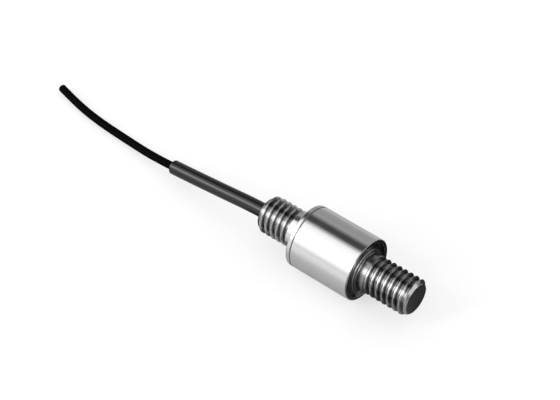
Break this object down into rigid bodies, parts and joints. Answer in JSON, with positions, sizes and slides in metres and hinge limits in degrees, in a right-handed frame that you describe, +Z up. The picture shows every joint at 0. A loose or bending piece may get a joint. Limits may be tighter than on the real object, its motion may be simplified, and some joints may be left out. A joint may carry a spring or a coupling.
{
  "type": "in-line load cell",
  "caption": "Small cylindrical stainless load cell for tension and compression, with a threaded stud at each end and a cable out of the rear stud.",
  "frame": {"origin": "on the surface that the cell lies on, under the middle of the metal, which is the spring element's length without the cable", "axes": "+X along the load axis towards the front stud, +Z up; the cable leaves the rear stud towards -X"},
  "size_m": [0.0748, 0.01, 0.01],
  "materials": {
    "machined_steel": "turned stainless steel with rolled threads",
    "polished_steel": "polished stainless tube",
    "diaphragm_steel": "formed stainless sheet",
    "board": "glass laminate with solder mask",
    "solder": "flowed solder",
    "resistor_chip": "ceramic chip with metal ends",
    "gauge_foil": "amber film with metal foil",
    "lead_ribbon": "bare copper ribbon",
    "core_red": "smooth core insulation",
    "core_white": "smooth core insulation",
    "core_black": "smooth core insulation",
    "core_green": "smooth core insulation",
    "cable_jacket": "black extruded jacket",
    "relief_sleeve": "glossy dark shrunk sleeve",
    "braid": "tinned copper braid",
    "ferrule": "crimped brass",
    "potting": "cured epoxy"
  },
  "bodies": {
    "root": {"spring_element": "machined_steel", "cover_sleeve": "polished_steel", "front_diaphragm": "diaphragm_steel", "terminal_board": "board", "solder_joints": "solder", "trim_resistors": "resistor_chip", "gauge_axial_top": "gauge_foil", "gauge_axial_bottom": "gauge_foil", "gauge_cross_rear_side": "gauge_foil", "gauge_cross_front_side": "gauge_foil", "gauge_leads_top": "lead_ribbon", "gauge_leads_bottom": "lead_ribbon", "gauge_leads_rear_side": "lead_ribbon", "gauge_leads_front_side": "lead_ribbon", "core_red": "core_red", "core_white": "core_white", "core_black": "core_black", "core_green": "core_green", "cable": "cable_jacket", "strain_relief": "relief_sleeve", "shield_braid": "braid", "cable_ferrule": "ferrule", "potting_plug": "potting"}
  },
  "joints": []
}
